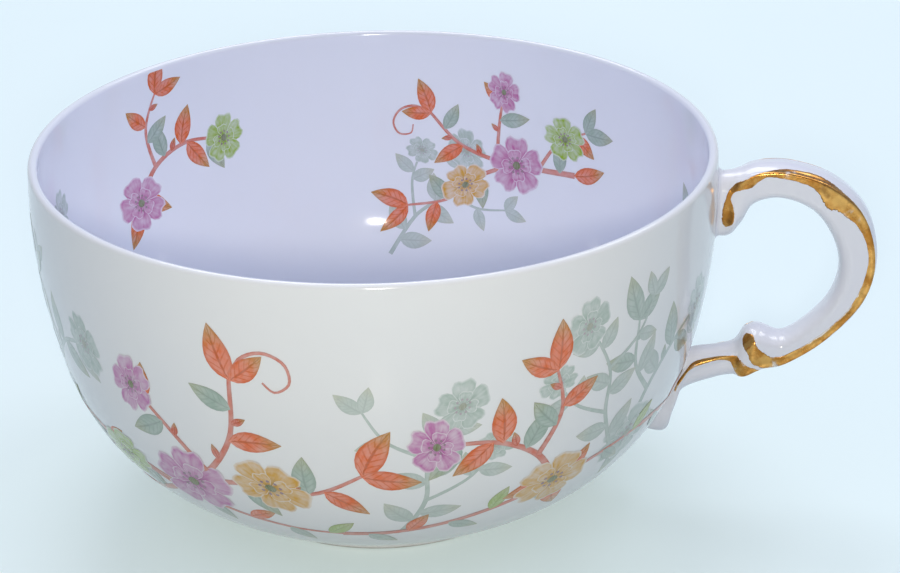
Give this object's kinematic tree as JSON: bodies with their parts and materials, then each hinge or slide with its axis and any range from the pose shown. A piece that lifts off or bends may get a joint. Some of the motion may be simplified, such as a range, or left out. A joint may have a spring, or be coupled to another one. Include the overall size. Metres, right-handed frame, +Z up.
{
  "type": "flat tea cup",
  "caption": "Wide, low porcelain tea cup: rounded thin-walled bowl on a turned foot ring, with a scrolled handle stuck on with slip and gilded along its ridges. Holds hot drinks.",
  "frame": {"origin": "on the axis of the bowl at table level, in the middle of the foot ring", "axes": "+Z up along the bowl's axis, +X from the axis towards the handle, +Y across the handle"},
  "size_m": [0.1175, 0.0954, 0.052],
  "materials": {
    "porcelain": "clear gloss glaze on white porcelain with printed flowers",
    "handle_porcelain": "clear gloss glaze on white porcelain",
    "slip": "fired slip under the glaze",
    "gilding": "fired gold, worn in places"
  },
  "bodies": {
    "root": {"bowl": "porcelain", "handle": "handle_porcelain", "upper_slip_joint": "slip", "lower_slip_joint": "slip", "near_loop_gilding": "gilding", "far_loop_gilding": "gilding", "near_bracket_gilding": "gilding", "far_bracket_gilding": "gilding"}
  },
  "joints": []
}
